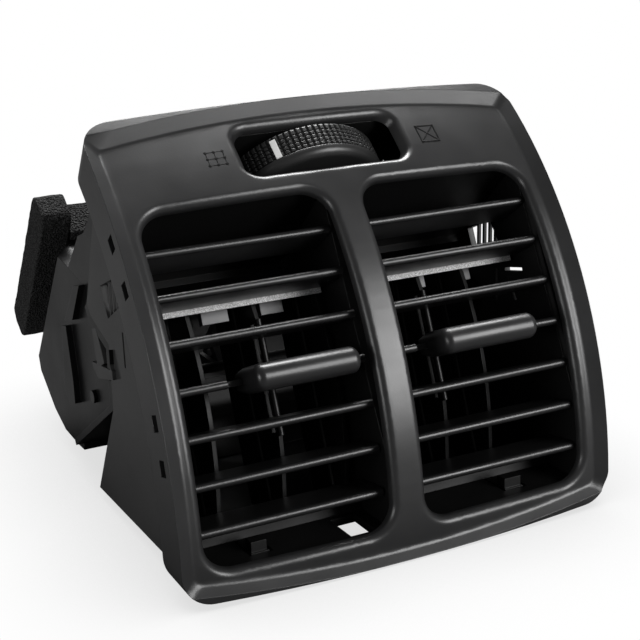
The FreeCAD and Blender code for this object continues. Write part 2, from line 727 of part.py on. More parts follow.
def housing_outline():
    r1 = FACE_R - FACE_WALL - HOUSING_GAP
    return joint_line() + [joint_top(), at(51.5, 116.5), at(HOUSING_TOP, 118.5), at(HOUSING_TOP, r1 + 9),
                           at(CHAMBER_LOW - 1.1, r1 + 9)]


def clip_loops(grow):
    """Hooked arms that reach back from the housing's sides over the duct."""
    foot = [V(0, 79.2, 42.0), V(0, 77.9, 40.3), V(0, 74.0, 38.2), V(0, 60.9, 41.7), V(0, 61.2, 44.5)]
    bar = [V(0, 76.9, 52.8), V(0, 73.2, 54.1), V(0, 67.6, 44.9), V(0, 74.1, 41.2)]
    x0, x1 = DUCT_HALF_W + 0.3 - grow, HOUSING_HALF_W + grow * 5
    if grow > 0:
        foot, bar = grown(foot, grow), grown(bar, grow)
    return pair(foot, x0, x1) + pair(bar, x0, x1)


def side_details(body):
    """Window with thin bars, slots and a recess in both side walls, and the hooked arms."""
    inner, w = HOUSING_HALF_W - HOUSING_WALL, HOUSING_HALF_W
    window = [V(0, 66.0, 68.5), V(0, 53.8, 73.8), V(0, 48.5, 67.5), V(0, 61.3, 60.0), V(0, 64.0, 64.0)]
    recess = [V(0, 64.0, 50.0), V(0, 57.3, 52.0), V(0, 53.2, 44.7), V(0, 60.9, 41.7)]
    slots = [strip(V(0, 49.7, 59.2), V(0, 49.3, 49.0), 1.2), strip(V(0, 43.9, 58.1), V(0, 38.9, 51.7), 1.2),
             strip(V(0, 45.1, 60.0), V(0, 35.9, 62.0), 1.2)]
    for points in [window] + slots:
        for tool in pair(points, inner - 0.5, w + 1):
            body = body.cut(tool)
    for tool in pair(recess, w - 1.2, w + 1):
        body = body.cut(tool)
    frame = grown(window, 0.6)
    for y in (51.5, 54.6, 57.7, 60.8):
        bar = [V(0, y - 0.45, 58), V(0, y + 0.45, 58), V(0, y + 0.45, 76), V(0, y - 0.45, 76)]
        for one, limit in zip(pair(bar, w - 1.6, w - 0.6), pair(frame, w - 1.6, w - 0.6)):
            body = body.fuse(one.common(limit))
    return body.fuse(clip_loops(0))


def floor_details(body):
    """A snap tongue with a hook in each chamber's floor, and an open window beside the left one."""
    lo, hi = CHAMBER_LOW - 2, CHAMBER_LOW + 0.3
    for x0, x1 in ((-45.0, -38.0), (37.0, 45.0)):
        for g0, g1, r0, r1 in ((x0, x0 + 0.8, 112, 130), (x1 - 0.8, x1, 112, 130), (x0, x1, 129.2, 130)):
            body = body.cut(sector(r0, r1, lo, hi, g0, g1))
        body = body.fuse(sector(124.5, 128.4, CHAMBER_LOW - 0.4, CHAMBER_LOW + 1.3, x0 + 1.2, x1 - 1.2))
    return body.cut(sector(121, 133.5, lo, hi, -16, -8))


def housing():
    """Box with two chambers side by side, the wheel's box above and the open plenum behind."""
    w = HOUSING_HALF_W
    inner = w - HOUSING_WALL
    r1 = FACE_R - FACE_WALL - HOUSING_GAP
    top = HOUSING_TOP
    outline = housing_outline()
    shell = revolve(plan_face(FACE_R - r1, FACE_R - 20, w), -10, 80)
    body = prism(outline, -w, w).common(shell)
    z = at(CHAMBER_LOW - 1.1, r1).z - 0.2
    c = CORNER_CUT
    for side in (-1, 1):
        corner = face_of([V(side * (w - c), -9, z), V(side * (w + 1), -9, z),
                          V(side * (w + 1), -9, z + c + 1)])
        body = body.cut(corner.extrude(V(0, 10 + SKIRT_DEPTH, 0)))
    box_half = wheel_box_half()
    box = sector(wheel_box_r(), r1 + 9, CHAMBER_HIGH + 1.5, top, -box_half, box_half)
    body = body.fuse(box.common(shell))
    for side in (-1, 1):
        x0, x1 = grille_span(side)
        body = body.cut(sector(CHAMBER_REAR_R, r1 + 4, CHAMBER_LOW, CHAMBER_HIGH, x0, x1))
    thin = CHAMBER_INNER_X - DIVIDER_SKIN
    body = body.cut(sector(CHAMBER_REAR_R, r1 - 8, CHAMBER_LOW, CHAMBER_HIGH, -thin, thin))
    body = body.cut(sector(40, CHAMBER_REAR_R, CHAMBER_LOW, PLENUM_HIGH, -inner, inner))
    body = body.cut(sector(CHAMBER_REAR_R + 4, r1 + 4, 47.2, top - 1.2, -inner, inner))
    cave = block(WHEEL_PHI, wheel_box_r() + HOUSING_WALL, r1 + 4, -WHEEL_THICK / 2 - ROD_ROOM,
                 WHEEL_THICK / 2 + WHEEL_HEAD_ROOM, HOUSING_WALL - box_half, box_half - HOUSING_WALL)
    body = body.cut(cave)
    low, high = joint_line()[:2]
    ahead = V(0, -(high - low).z, (high - low).y).normalize() * HOUSING_WALL
    whole = prism(outline, -w, w)
    for plate in pair([low, high, high + ahead, low + ahead], DUCT_LOW_HALF_W - DUCT_WALL, inner + 1):
        body = body.fuse(plate.common(whole))
    body = body.cut(rod_tunnel())
    body = body.cut(rod_up(WHEEL_PHI, wheel_centre_a(), 0, WHEEL_BORE_R + 0.02, axle_foot(), 0))
    for side in (-1, 1):
        x0, x1 = grille_span(side)
        for i in range(SLAT_COUNT):
            body = body.cut(rod_x(pivot(i), PIVOT_PIN_R + PIN_CLEAR, x0 - HOUSING_WALL, x0 + 1))
            body = body.cut(rod_x(pivot(i), PIVOT_PIN_R + PIN_CLEAR, x1 - 1, x1 + HOUSING_WALL))
    return floor_details(side_details(body))


def rod_tunnel():
    """Room for the control rod where it leaves the wheel's box and enters the duct."""
    return block(WHEEL_PHI, 40, CHAMBER_REAR_R, ROD_B - ROD_T / 2 - 0.5, ROD_B + ROD_T / 2 + 0.5,
                 ROD_X - ROD_W / 2 - 0.5, ROD_X + ROD_W / 2 + 0.5)


def neck_axes():
    """Direction out of the neck's mouth, and direction down along it."""
    lean = math.radians(NECK_LEAN)
    return V(0, math.cos(lean), math.sin(lean)), V(0, math.sin(lean), -math.cos(lean))


def neck_at(s, t, x=0.0):
    """Point s down the mouth's plane from its upper corner, t in front of that plane."""
    out, down = neck_axes()
    return NECK_CORNER + down * s - out * t + V(x, 0, 0)


def duct_side(front_low, front_high, mouth_t):
    """Side view of the duct, with its ends at the housing and its mouth given."""
    return (front_low + [V(0, 102.0, 4.8), V(0, 108.0, 4.6), V(0, 121.0, 5.2), V(0, 131.3, 9.2),
                         V(0, 144.8, 18.6),
                         V(0, 147.5, 27.5), neck_at(NECK_LOW_S, FOAM_T), neck_at(NECK_LOW_S, mouth_t),
                         neck_at(NECK_TOP_S, mouth_t), neck_at(NECK_TOP_S, FOAM_T), V(0, 104.0, 64.5),
                         V(0, 84.0, 61.5), joint_top()] + front_high)


def duct_plan(wall):
    """Room between the duct's sides seen along the mouth, narrowing towards the neck."""
    w0, w1 = DUCT_HALF_W - wall, NECK_HALF_W - wall
    half = [(w0, 120.0), (w0, TAPER_T + wall / 2), (w1, FOAM_T + wall / 2), (w1, -15.0)]
    ring = half + [(-x, t) for x, t in reversed(half)]
    return face_of([neck_at(-60, t, x) for x, t in ring]).extrude(neck_axes()[1] * 220)


def shelf_line():
    """Edge below which the duct is narrower, from the housing to the bottom."""
    return V(0, 62.5, 32.0), V(0, 102.0, 7.0)


def under_shelf(lift):
    """Side view of the room below the shelf, lifted by the shelf's own thickness or not at all."""
    p, q = shelf_line()
    d = (q - p).normalize()
    n = V(0, -d.z, d.y) * lift
    return [p - d * 16 + n, V(0, q.y + lift, q.z) + V(0, 0, n.z), V(0, q.y + lift, -10), V(0, 40, -10)]


def duct():
    """Rear duct from the housing to the neck, wide above its shelf and narrower below it."""
    t = DUCT_WALL
    w, low_w = DUCT_HALF_W, DUCT_LOW_HALF_W
    line = joint_line()
    side = duct_side([line[0]], line[:0:-1], 0.0)
    room = grown(duct_side([V(0, 50.0, -4.6)], [V(0, 50.0, 44.5)], -10.0), -t)
    body = prism(side, -w, w)
    inside = prism(room, -w, w)
    for tool in pair(under_shelf(0), low_w, w + 1):
        body = body.cut(tool)
    for tool in pair(under_shelf(SHELF_T), low_w - t, w + 1):
        inside = inside.cut(tool)
    body = body.common(duct_plan(0))
    inside = inside.common(duct_plan(t))
    front = [V(0, 60, 34.0), V(0, 60, 52.0), line[3] + V(0, 0, 0.6), V(0, 84, 57.9), V(0, 84, 34.0)]
    inside = inside.fuse(prism(front, t - w, w - t))
    flange = [line[1], line[2], line[3], joint_top(), V(0, 82.2, 58.2), V(0, 78.3, 54.0), V(0, 65.0, 50.0),
              V(0, 65.0, 30.4)]
    p, q = shelf_line()
    up = V(0, -(q - p).z, (q - p).y).normalize() * SHELF_T
    for points in (flange, [p, q, q + up, p + up]):
        for edge in pair(points, w - t, HOUSING_HALF_W):
            body = body.fuse(edge)
    bar = [V(0, 94.0, 61.5), V(0, 88.4, 62.9), V(0, 97.7, 49.6), V(0, 105.7, 47.4)]
    rib = [V(0, 109.3, 44.6), V(0, 105.2, 45.7), V(0, 101.7, 28.4), V(0, 101.5, 21.1), V(0, 106.8, 19.1),
           V(0, 111.7, 22.7)]
    for points in (bar, rib):
        for one in pair(points, w, w + 2):
            body = body.fuse(one)
    body = body.cut(inside).cut(rod_tunnel())
    for loop in clip_loops(0.2):
        body = body.cut(loop)
    return body.cut(rod_x(flap_pivot(), FLAP_AXLE_R + 0.02, -90, 90))


def upper_cover():
    """Shell that closes the space above the duct, behind the wheel's box."""
    w = DUCT_HALF_W
    t = COVER_WALL
    roof = [at(HOUSING_TOP - 1.2, 121.0), at(HOUSING_TOP - 1.2, 117.4), V(0, 75.4, 90.4), V(0, 86.4, 79.1),
            V(0, 92.2, 77.0), V(0, 103.3, 65.3), V(0, 104.0, 64.5)]
    base = [V(0, 84.0, 61.5), joint_top(), at(51.5, 116.5)]
    body = prism(roof + base, -w, w)
    room = grown(roof + [V(0, 84.0, 50.0), V(0, 60.0, 70.0)], -t)
    body = body.cut(prism(room, t - w, w - t))
    half = wheel_box_half() + 0.3
    body = body.cut(sector(wheel_box_r() - 0.3, FACE_R, CHAMBER_HIGH, HOUSING_TOP, -half, half))
    return body.cut(prism([V(0, 60, 75), roof[2] - V(0, 0, 15), roof[2] + V(0, 0, 9), V(0, 60, 99)], -half,
                          half))


def neck_gasket():
    """Foam frame round the neck: two long side bars with a bar above and a bar below between them."""
    w = NECK_HALF_W
    s0, s1 = FOAM_SIDE_S
    bars = pair([neck_at(s0, 0), neck_at(s1, 0), neck_at(s1, FOAM_T), neck_at(s0, FOAM_T)], w,
                w + FOAM_SIDE_W)
    for a, b in ((NECK_TOP_S - FOAM_TOP_H, NECK_TOP_S), (NECK_LOW_S, NECK_LOW_S + FOAM_LOW_H)):
        bars.append(prism([neck_at(a, 0), neck_at(b, 0), neck_at(b, FOAM_T), neck_at(a, FOAM_T)], -w, w))
    return bars[0].fuse(bars[1:])


save(bezel(), "bezel")
save(housing(), "housing")
save(duct(), "rear_duct")
save(neck_gasket(), "neck_gasket")
save(upper_cover(), "upper_cover")
for side, word in ((-1, "left"), (1, "right")):
    for i in range(SLAT_COUNT):
        save(slat(i, side), word + "_slat_" + str(SLAT_COUNT - i))
    save(slat_link(side), word + "_slat_link")
    save(knob(side), word + "_knob")
    for k in range(VANE_COUNT):
        save(vane(side, k), word + "_vane_" + str(k + 1))
    save(vane_link(side), word + "_vane_link")
    save(upper_rail(side), word + "_upper_rail")
    save(lower_rail(side), word + "_lower_rail")
save(thumbwheel(), "thumbwheel")
save(wheel_marker(), "wheel_marker")
save(wheel_axle(), "wheel_axle")
save(control_rod(), "control_rod")
save(flap(), "flap")
save(flap_axle(), "flap_axle")
save(flap_seal(), "flap_seal")
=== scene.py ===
import bpy
import bmesh
import math
from mathutils import Matrix, Vector, noise


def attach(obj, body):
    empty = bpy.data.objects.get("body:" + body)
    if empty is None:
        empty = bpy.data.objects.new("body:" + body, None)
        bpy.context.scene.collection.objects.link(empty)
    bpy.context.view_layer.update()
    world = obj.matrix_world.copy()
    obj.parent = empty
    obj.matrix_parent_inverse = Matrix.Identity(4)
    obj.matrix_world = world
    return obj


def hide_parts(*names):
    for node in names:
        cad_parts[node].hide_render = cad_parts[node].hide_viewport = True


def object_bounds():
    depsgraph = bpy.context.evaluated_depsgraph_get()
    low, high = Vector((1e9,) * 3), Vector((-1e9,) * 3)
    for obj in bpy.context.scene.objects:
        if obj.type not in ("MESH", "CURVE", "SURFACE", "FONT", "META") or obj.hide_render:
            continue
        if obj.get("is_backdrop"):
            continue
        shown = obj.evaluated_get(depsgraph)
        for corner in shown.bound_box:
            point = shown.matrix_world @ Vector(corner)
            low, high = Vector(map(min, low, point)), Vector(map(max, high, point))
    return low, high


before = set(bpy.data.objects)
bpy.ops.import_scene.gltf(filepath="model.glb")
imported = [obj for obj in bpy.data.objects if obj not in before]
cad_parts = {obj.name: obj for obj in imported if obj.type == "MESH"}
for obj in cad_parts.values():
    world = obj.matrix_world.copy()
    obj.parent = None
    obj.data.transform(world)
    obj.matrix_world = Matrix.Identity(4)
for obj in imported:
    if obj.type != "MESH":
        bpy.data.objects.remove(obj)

cad_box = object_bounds()
scene = bpy.context.scene

# Camera
# The photograph's view, from the left and above through a long lens. The picture is square, so the lens is
# the focal length in pixels times the sensor's width over the picture's.
picture_px = 640
focal_px = 1422.1
cam_place = Vector((-0.18359, -0.30546, 0.17964))
cam_right = Vector((0.8864, -0.46235, -0.0227)).normalized()
cam_back = -Vector((0.43456, 0.84802, -0.30335)).normalized()
cam_up = cam_back.cross(cam_right)
cam_turn = Matrix((cam_right, cam_up, cam_back)).transposed().to_4x4()
cam_data = bpy.data.cameras.new("camera")
cam_data.sensor_width = 36.0
cam_data.lens = focal_px / picture_px * cam_data.sensor_width
cam = bpy.data.objects.new("camera", cam_data)
scene.collection.objects.link(cam)
cam.matrix_world = Matrix.Translation(cam_place) @ cam_turn
scene.camera = cam

# Studio
# A pale floor in a white surround that only the camera sees; close to the part its glow is dimmed into a
# painted shadow. One softbox stands in front on the right, a low one on the left, and one above and behind
# lights the upper edges.
scene.view_settings.view_transform = "Standard"
fill_strength = 0.14
floor_radius = 3.0
floor_middle_y = 0.08
floor_gap = 0.0005
floor_tone = 0.12
shadow_reach = 0.055
shadow_closed, shadow_open = 0.35, 0.97
shadow_darkest = 0.72


def camera_pick(tree, lit, shown, surface):
    """Gives the surface one shader for the light on the part and another for what the camera sees."""
    path = tree.nodes.new("ShaderNodeLightPath")
    pick = tree.nodes.new("ShaderNodeMixShader")
    tree.links.new(path.outputs["Is Camera Ray"], pick.inputs[0])
    tree.links.new(lit.outputs[0], pick.inputs[1])
    tree.links.new(shown.outputs[0], pick.inputs[2])
    tree.links.new(pick.outputs[0], surface)


world = bpy.data.worlds.new("studio")
scene.world = world
world.use_nodes = True
nodes = world.node_tree.nodes
nodes.clear()
fill = nodes.new("ShaderNodeBackground")
fill.inputs["Color"].default_value = (1.0, 1.0, 1.0, 1.0)
fill.inputs["Strength"].default_value = fill_strength
white = nodes.new("ShaderNodeBackground")
white.inputs["Color"].default_value = (1.0, 1.0, 1.0, 1.0)
white.inputs["Strength"].default_value = 1.0
out = nodes.new("ShaderNodeOutputWorld")
camera_pick(world.node_tree, fill, white, out.inputs["Surface"])

mesh = bpy.data.meshes.new("floor")
bm = bmesh.new()
bmesh.ops.create_circle(bm, cap_ends=True, segments=64, radius=floor_radius)
bmesh.ops.translate(bm, verts=bm.verts, vec=(0.0, floor_middle_y, cad_box[0][2] - floor_gap))
bm.to_mesh(mesh)
bm.free()
floor = bpy.data.objects.new("floor", mesh)
scene.collection.objects.link(floor)
pale = bpy.data.materials.new("pale_floor")
pale.use_nodes = True
nodes = pale.node_tree.nodes
links = pale.node_tree.links
surface = nodes["Principled BSDF"]
surface.inputs["Base Color"].default_value = (floor_tone, floor_tone, floor_tone, 1.0)
surface.inputs["Roughness"].default_value = 0.9
glow = nodes.new("ShaderNodeEmission")
# The floor's darkening close to the part is a painted shadow: ambient occlusion dims the glow the camera
# sees.
painted_shadow_ao = nodes.new("ShaderNodeAmbientOcclusion")
painted_shadow_ao.samples = 8
painted_shadow_ao.inputs["Distance"].default_value = shadow_reach
shade = nodes.new("ShaderNodeMapRange")
shade.inputs["From Min"].default_value = shadow_closed
shade.inputs["From Max"].default_value = shadow_open
shade.inputs["To Min"].default_value = shadow_darkest
shade.inputs["To Max"].default_value = 1.0
links.new(painted_shadow_ao.outputs["AO"], shade.inputs["Value"])
links.new(shade.outputs["Result"], glow.inputs["Strength"])
camera_pick(pale.node_tree, surface, glow, nodes["Material Output"].inputs["Surface"])
mesh.materials.append(pale)
floor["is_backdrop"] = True

part_middle = Vector((0.0, 0.03, 0.055))


def softbox(name, azimuth, elevation, distance, width, height, watts):
    """Area lamp that looks at the part's middle; azimuth 0 is straight in front, plus is to the right."""
    a, e = math.radians(azimuth), math.radians(elevation)
    way = Vector((math.sin(a) * math.cos(e), -math.cos(a) * math.cos(e), math.sin(e)))
    place = part_middle + distance * way
    data = bpy.data.lights.new(name, "AREA")
    data.shape = "RECTANGLE"
    data.size = width
    data.size_y = height
    data.energy = watts
    lamp = bpy.data.objects.new(name, data)
    lamp.location = place
    lamp.rotation_euler = (part_middle - place).to_track_quat("-Z", "Y").to_euler()
    scene.collection.objects.link(lamp)


softbox("right_box", azimuth=33, elevation=20, distance=1.2, width=0.5, height=0.6, watts=12.5)
softbox("left_box", azimuth=-75, elevation=2, distance=1.3, width=0.5, height=0.7, watts=7.0)
softbox("top_box", azimuth=152, elevation=54, distance=1.2, width=0.8, height=0.45, watts=28.0)

# Bezel
# The front with its raised rim, two outlets and the window for the wheel, one moulding of satin charcoal ABS.
# It slides over the housing, and catches snap into the slots in its skirt.
edge_wear_r = 0.00025
grain_height = 0.00006
tone_scale = 55.0
tone_low, tone_high = 0.3, 0.7
colour_swing = 0.2
gloss_swing = 0.04
weld = 0.000002
mix_a, mix_b, mix_out = 6, 7, 2     # the colour sockets of a Mix node

# The skin that the plastic pieces share is a fine grain from the mould, edges that are worn round in the
# normal alone, and a slow uneven tone that shifts colour and gloss a little from place to place.
grain = bpy.data.node_groups.new("moulded_grain", "ShaderNodeTree")
grain.interface.new_socket(name="Scale", in_out="INPUT", socket_type="NodeSocketFloat")
grain.interface.new_socket(name="Depth", in_out="INPUT", socket_type="NodeSocketFloat")
grain.interface.new_socket(name="Tone", in_out="OUTPUT", socket_type="NodeSocketFloat")
grain.interface.new_socket(name="Normal", in_out="OUTPUT", socket_type="NodeSocketVector")
nodes = grain.nodes
links = grain.links
given = nodes.new("NodeGroupInput")
result = nodes.new("NodeGroupOutput")
place = nodes.new("ShaderNodeTexCoord")
fine = nodes.new("ShaderNodeTexNoise")
fine.inputs["Detail"].default_value = 3.0
slow = nodes.new("ShaderNodeTexNoise")
slow.inputs["Scale"].default_value = tone_scale
slow.inputs["Detail"].default_value = 4.0
bump = nodes.new("ShaderNodeBump")
bump.inputs["Distance"].default_value = grain_height
edge = nodes.new("ShaderNodeBevel")
edge.samples = 4
edge.inputs["Radius"].default_value = edge_wear_r
links.new(edge.outputs["Normal"], bump.inputs["Normal"])
links.new(place.outputs["Object"], fine.inputs["Vector"])
links.new(place.outputs["Object"], slow.inputs["Vector"])
links.new(given.outputs["Scale"], fine.inputs["Scale"])
links.new(given.outputs["Depth"], bump.inputs["Strength"])
links.new(fine.outputs["Fac"], bump.inputs["Height"])
links.new(slow.outputs["Fac"], result.inputs["Tone"])
links.new(bump.outputs["Normal"], result.inputs["Normal"])


def plastic(name, colour, roughness, scale, depth, shine=0.5):
    """Moulded plastic: its colour and roughness, the scale and depth of its grain, and its specular level."""
    mat = bpy.data.materials.new(name)
    mat.use_nodes = True
    nodes = mat.node_tree.nodes
    links = mat.node_tree.links
    skin = nodes["Principled BSDF"]
    skin.inputs["Specular IOR Level"].default_value = shine
    surface = nodes.new("ShaderNodeGroup")
    surface.node_tree = grain
    surface.inputs["Scale"].default_value = scale
    surface.inputs["Depth"].default_value = depth
    tint = nodes.new("ShaderNodeMix")
    tint.data_type = "RGBA"
    tint.inputs[mix_a].default_value = (*[c * (1.0 - colour_swing) for c in colour], 1.0)
    tint.inputs[mix_b].default_value = (*[c * (1.0 + colour_swing) for c in colour], 1.0)
    gloss = nodes.new("ShaderNodeMapRange")
    gloss.inputs["From Min"].default_value = tone_low
    gloss.inputs["From Max"].default_value = tone_high
    gloss.inputs["To Min"].default_value = roughness - gloss_swing
    gloss.inputs["To Max"].default_value = roughness + gloss_swing
    links.new(surface.outputs["Tone"], tint.inputs[0])
    links.new(surface.outputs["Tone"], gloss.inputs["Value"])
    links.new(tint.outputs[mix_out], skin.inputs["Base Color"])
    links.new(gloss.outputs["Result"], skin.inputs["Roughness"])
    links.new(surface.outputs["Normal"], skin.inputs["Normal"])
    return mat


def smooth_copy(node, body, finish, sharp=32.0):
    """Copy of a CAD node with its triangles joined and every edge below the sharp angle shaded smooth."""
    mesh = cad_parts[node].data.copy()
    mesh.name = node + "_skin"
    bm = bmesh.new()
    bm.from_mesh(mesh)
    bmesh.ops.remove_doubles(bm, verts=bm.verts, dist=weld)
    limit = math.radians(sharp)
    for face in bm.faces:
        face.smooth = True
    for edge in bm.edges:
        edge.smooth = edge.calc_face_angle(math.pi) < limit
    bm.to_mesh(mesh)
    bm.free()
    mesh.materials.clear()
    mesh.materials.append(finish)
    obj = bpy.data.objects.new(node + "_skin", mesh)
    scene.collection.objects.link(obj)
    weigh = obj.modifiers.new("even_normals", "WEIGHTED_NORMAL")
    weigh.keep_sharp = True
    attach(obj, body)
    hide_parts(node)
    return obj


bezel_satin = plastic("bezel_satin", (0.018, 0.018, 0.0184), roughness=0.34, scale=1900.0, depth=0.25)
smooth_copy("bezel", "case", bezel_satin, sharp=24.0)

# Outlet signs
# Two small signs in matt black ink beside the wheel: a grid of joined dots for open on the left, a crossed
# box for shut on the right. Each is a thin film printed on the curved face.
face_r = 0.1393
face_crown_r = 0.827
sign_phi = 48.95
grid_x, grid_step_x, grid_step_phi = -0.0330, 0.0025, 0.92
grid_w, grid_h, grid_line, grid_film = 0.0050, 0.0044, 0.00018, 0.00010
dot_r, dot_top_r, dot_film = 0.00048, 0.00044, 0.00012
box_x, box_w, box_h, box_line, box_film = 0.0345, 0.0060, 0.0058, 0.00045, 0.00012
sign_black = plastic("sign_black", (0.002, 0.002, 0.002), roughness=0.6, scale=900.0, depth=0.0, shine=0.1)


def arc_ways(phi):
    """The ways out and up at phi degrees on the arc of the face, whose axis lies level behind it."""
    a = math.radians(phi)
    return Vector((0.0, -math.cos(a), math.sin(a))), Vector((0.0, math.sin(a), math.cos(a)))


def on_face(x, phi):
    """Place on the face, x from the middle and phi degrees up its arc, with the way out as Z and up as Y."""
    arc_out, up = arc_ways(phi)
    r = face_r - x * x / (2 * face_crown_r)
    out = (arc_out + Vector((x / face_crown_r, 0.0, 0.0))).normalized()
    turn = Matrix((up.cross(out), up, out)).transposed().to_4x4()
    return Matrix.Translation(Vector((x, face_r, 0.0)) + arc_out * r) @ turn


def fixed_piece(bm, name, finish):
    """Object made from a bmesh and fixed to the case."""
    mesh = bpy.data.meshes.new(name)
    bm.to_mesh(mesh)
    bm.free()
    mesh.materials.append(finish)
    obj = bpy.data.objects.new(name, mesh)
    scene.collection.objects.link(obj)
    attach(obj, "case")
    return obj


level_bar = Matrix.Diagonal((grid_w, grid_line, grid_film, 1.0))
upright_bar = Matrix.Diagonal((grid_line, grid_h, grid_film, 1.0))
bm = bmesh.new()
for step in (-1, 0, 1):
    x, phi = grid_x + grid_step_x * step, sign_phi + grid_step_phi * step
    bmesh.ops.create_cube(bm, size=1.0, matrix=on_face(grid_x, phi) @ level_bar)
    bmesh.ops.create_cube(bm, size=1.0, matrix=on_face(x, sign_phi) @ upright_bar)
    for row in (-1, 0, 1):
        bmesh.ops.create_cone(bm, cap_ends=True, segments=16, radius1=dot_r, radius2=dot_top_r,
                              depth=dot_film, matrix=on_face(x, sign_phi + grid_step_phi * row))
fixed_piece(bm, "open_sign", sign_black)

slant = math.degrees(math.atan2(box_h, box_w))
cross = math.hypot(box_w, box_h)
bars = ((0.0, box_h / 2, box_w, 0.0), (0.0, -box_h / 2, box_w, 0.0), (box_w / 2, 0.0, box_h, 90.0),
        (-box_w / 2, 0.0, box_h, 90.0), (0.0, 0.0, cross, slant), (0.0, 0.0, cross, -slant))
bm = bmesh.new()
for x, y, length, angle in bars:
    local = Matrix.Translation((x, y, 0.0)) @ Matrix.Rotation(math.radians(angle), 4, "Z")
    bar = Matrix.Diagonal((length + box_line, box_line, box_film, 1.0))
    bmesh.ops.create_cube(bm, size=1.0, matrix=on_face(box_x, sign_phi) @ local @ bar)
fixed_piece(bm, "shut_sign", sign_black)

# Housing
# The box behind the bezel with its two chambers, side windows, clip arms and the wheel's box, moulded in matt
# black polypropylene. Its colour is split at the side walls as a painted shade: everything within them, the
# chambers too, is near black, and the outsides are a lighter grey-black.
wall_inside_x, wall_outside_x = 0.0608, 0.0616
# The near-black colour within the side walls is painted shade over the chambers, not the plastic's own
# colour.
chamber_painted_shade = 0.0035
housing_black = plastic("housing_black", (0.044, 0.044, 0.044), roughness=0.46, scale=1400.0, depth=0.35,
                        shine=0.35)
nodes = housing_black.node_tree.nodes
links = housing_black.node_tree.links
skin = nodes["Principled BSDF"]
outer_tint = skin.inputs["Base Color"].links[0].from_socket
place = nodes.new("ShaderNodeTexCoord")
apart = nodes.new("ShaderNodeSeparateXYZ")
from_middle = nodes.new("ShaderNodeMath")
from_middle.operation = "ABSOLUTE"
outside = nodes.new("ShaderNodeMapRange")
outside.inputs["From Min"].default_value = wall_inside_x
outside.inputs["From Max"].default_value = wall_outside_x
tone = nodes.new("ShaderNodeMix")
tone.data_type = "RGBA"
tone.inputs[mix_a].default_value = (chamber_painted_shade, chamber_painted_shade, chamber_painted_shade, 1.0)
links.new(place.outputs["Object"], apart.inputs["Vector"])
links.new(apart.outputs["X"], from_middle.inputs[0])
links.new(from_middle.outputs["Value"], outside.inputs["Value"])
links.new(outside.outputs["Result"], tone.inputs[0])
links.new(outer_tint, tone.inputs[mix_b])
links.new(tone.outputs[mix_out], skin.inputs["Base Color"])
smooth_copy("housing", "case", housing_black)

# Skirt ribs
# A curved rib on each side wall of the housing, moulded with it in black polypropylene. The bezel's skirt
# slides over the rib, which closes the gap between them to light and air.
rib_inner_x, rib_outer_x = 0.0629, 0.0657
rib_rear_r, rib_front_r = 0.1246, 0.1288
rib_start, rib_sweep = 4.0, 47.0
rib_black = plastic("rib_black", (0.004, 0.004, 0.004), roughness=0.55, scale=1400.0, depth=0.3, shine=0.25)
rib_out = arc_ways(rib_start)[0]
rib_x_way = Vector((1.0, 0.0, 0.0))
rib_plane = Matrix((rib_x_way, rib_out, rib_x_way.cross(rib_out))).transposed().to_4x4()
rib_size = Matrix.Diagonal((rib_outer_x - rib_inner_x, rib_front_r - rib_rear_r, 1.0, 1.0))
for side, sign_x in (("left", -1.0), ("right", 1.0)):
    middle = Vector((sign_x * (rib_inner_x + rib_outer_x) / 2, face_r, 0.0))
    middle += rib_out * (rib_rear_r + rib_front_r) / 2
    bm = bmesh.new()
    bmesh.ops.create_grid(bm, x_segments=1, y_segments=1, size=0.5,
                          matrix=Matrix.Translation(middle) @ rib_plane @ rib_size)
    bmesh.ops.spin(bm, geom=bm.verts[:] + bm.edges[:] + bm.faces[:], cent=(0.0, face_r, 0.0),
                   axis=(-1.0, 0.0, 0.0), angle=math.radians(rib_sweep), steps=24, use_merge=False,
                   use_duplicate=False)
    bmesh.ops.remove_doubles(bm, verts=bm.verts, dist=weld)
    bmesh.ops.recalc_face_normals(bm, faces=bm.faces)
    fixed_piece(bm, side + "_skirt_rib", rib_black)

# Upper cover
# A thin shell over the space above the duct, moulded in matt black polypropylene. It snaps down on the duct's
# side walls.
cover_black = plastic("cover_black", (0.007, 0.007, 0.007), roughness=0.36, scale=1400.0, depth=0.3,
                      shine=0.25)
smooth_copy("upper_cover", "case", cover_black)

# Rear duct
# The angled duct from the housing to the foam-framed mouth, matt black polypropylene with stiffening ribs on
# its sides. Its floor inside is painted deeper black, a painted shade, and has the coarse, dull skin of an
# etched mould.
floor_top_z, floor_full_z = 0.030, 0.022
level_from, level_full = 0.45, 0.65
# The floor's near-black colour is painted shade; the mask below picks the low, upward-facing floor for it.
duct_floor_painted_shade, duct_floor_roughness = 0.0012, 0.85
duct_black = plastic("duct_black", (0.006, 0.006, 0.0062), roughness=0.32, scale=1200.0, depth=0.3,
                     shine=0.16)
nodes = duct_black.node_tree.nodes
links = duct_black.node_tree.links
skin = nodes["Principled BSDF"]
wall_tint = skin.inputs["Base Color"].links[0].from_socket
wall_gloss = skin.inputs["Roughness"].links[0].from_socket
place = nodes.new("ShaderNodeTexCoord")
height = nodes.new("ShaderNodeSeparateXYZ")
facing = nodes.new("ShaderNodeSeparateXYZ")
low = nodes.new("ShaderNodeMapRange")
low.inputs["From Min"].default_value = floor_top_z
low.inputs["From Max"].default_value = floor_full_z
upward = nodes.new("ShaderNodeMapRange")
upward.inputs["From Min"].default_value = level_from
upward.inputs["From Max"].default_value = level_full
shaded_floor_mask = nodes.new("ShaderNodeMath")
shaded_floor_mask.operation = "MULTIPLY"
tone = nodes.new("ShaderNodeMix")
tone.data_type = "RGBA"
tone.inputs[mix_b].default_value = (duct_floor_painted_shade, duct_floor_painted_shade, duct_floor_painted_shade, 1.0)
dull = nodes.new("ShaderNodeMapRange")
